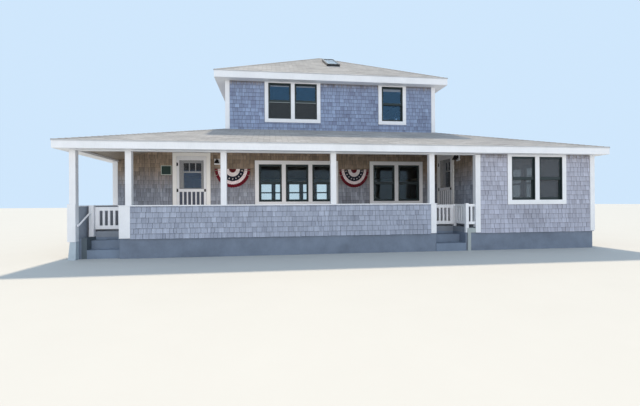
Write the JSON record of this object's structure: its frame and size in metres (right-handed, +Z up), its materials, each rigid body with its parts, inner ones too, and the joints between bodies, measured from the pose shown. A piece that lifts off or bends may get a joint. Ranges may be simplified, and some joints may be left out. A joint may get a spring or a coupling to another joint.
{
  "type": "beach house",
  "caption": "Two-storey shingled beach house with a hipped roof, recessed front porch, half wall, picket gates and screen doors.",
  "frame": {"origin": "on the ground under the roof's apex, at the middle of the plan", "axes": "+Z up, -Y out of the front with the porch, +X to the right seen from the front"},
  "size_m": [14.06, 14.06, 7.5517],
  "materials": {
    "concrete": "painted concrete",
    "floor_boards": "oiled boards",
    "deck_paint": "floor paint",
    "step_paint": "floor paint on concrete",
    "white_paint": "satin paint",
    "shingles": "weathered",
    "ceiling_boards": "varnished boards",
    "roofing": "mineral granules on felt",
    "sash_paint": "satin",
    "window_glass": "clear",
    "dark_metal": "satin",
    "plaque_paint": "gloss paint",
    "bunting_cloth": "woven"
  },
  "bodies": {
    "house": {"foundation": "concrete", "main_floor": "floor_boards", "upper_floor": "floor_boards", "porch_deck": "deck_paint", "left_steps": "step_paint", "right_steps": "step_paint", "stair_cheek": "step_paint", "corner_pedestal": "white_paint", "porch_half_wall": "shingles", "side_half_walls": "shingles", "half_wall_pilasters": "white_paint", "half_wall_caps": "white_paint", "porch_posts": "white_paint", "porch_beams": "white_paint", "porch_ceiling": "ceiling_boards", "porch_wall_left": "shingles", "porch_wall_right": "shingles", "porch_wall_over_door": "shingles", "wing_front_wall": "shingles", "wing_side_wall_front": "shingles", "wing_side_wall_back": "shingles", "wing_side_wall_over_door": "shingles", "left_wall": "shingles", "right_wall": "shingles", "back_wall": "shingles", "upper_front_wall": "shingles", "upper_back_wall": "shingles", "upper_left_wall": "shingles", "upper_right_wall": "shingles", "lower_roof": "roofing", "upper_roof": "roofing", "lower_eaves": "white_paint", "upper_eaves": "white_paint", "corner_boards": "white_paint", "lower_window_casings": "white_paint", "upper_window_casings": "white_paint", "lower_sashes": "sash_paint", "upper_sashes": "sash_paint", "lower_glass": "window_glass", "upper_glass": "window_glass", "door_casings": "white_paint", "left_stair_railing": "white_paint", "right_stair_railing": "white_paint", "skylight_curb": "dark_metal", "skylight_glass": "window_glass", "wall_lamps": "dark_metal", "plaque": "plaque_paint", "left_bunting": "bunting_cloth", "right_bunting": "bunting_cloth"},
    "front_screen_door": {"front_screen_door": "white_paint"},
    "front_door": {"front_door": "white_paint", "front_door_glass": "window_glass"},
    "side_screen_door": {"side_screen_door": "white_paint"},
    "side_door": {"side_door": "white_paint", "side_door_glass": "window_glass"},
    "left_gate": {"left_gate": "white_paint"},
    "right_gate": {"right_gate": "white_paint"}
  },
  "joints": [
    {"name": "front_screen_door_hinge", "type": "hinge", "parent": "house", "child": "front_screen_door", "pos_m": [-4.968, -4.307, 1.7], "axis": [0, 0, -1], "range_deg": [0, 95]},
    {"name": "front_door_hinge", "type": "hinge", "parent": "house", "child": "front_door", "pos_m": [-4.968, -4.115, 1.7], "axis": [0, 0, 1], "range_deg": [0, 100]},
    {"name": "side_screen_door_hinge", "type": "hinge", "parent": "house", "child": "side_screen_door", "pos_m": [3.243, -4.595, 1.7], "axis": [0, 0, -1], "range_deg": [0, 95]},
    {"name": "side_door_hinge", "type": "hinge", "parent": "house", "child": "side_door", "pos_m": [3.435, -4.595, 1.7], "axis": [0, 0, 1], "range_deg": [0, 100]},
    {"name": "left_gate_hinge", "type": "hinge", "parent": "house", "child": "left_gate", "pos_m": [-5.7025, -6.165, 0.95], "axis": [0, 0, -1], "range_deg": [0, 95]},
    {"name": "right_gate_hinge", "type": "hinge", "parent": "house", "child": "right_gate", "pos_m": [2.1625, -6.055, 0.95], "axis": [0, 0, 1], "range_deg": [0, 95]}
  ]
}
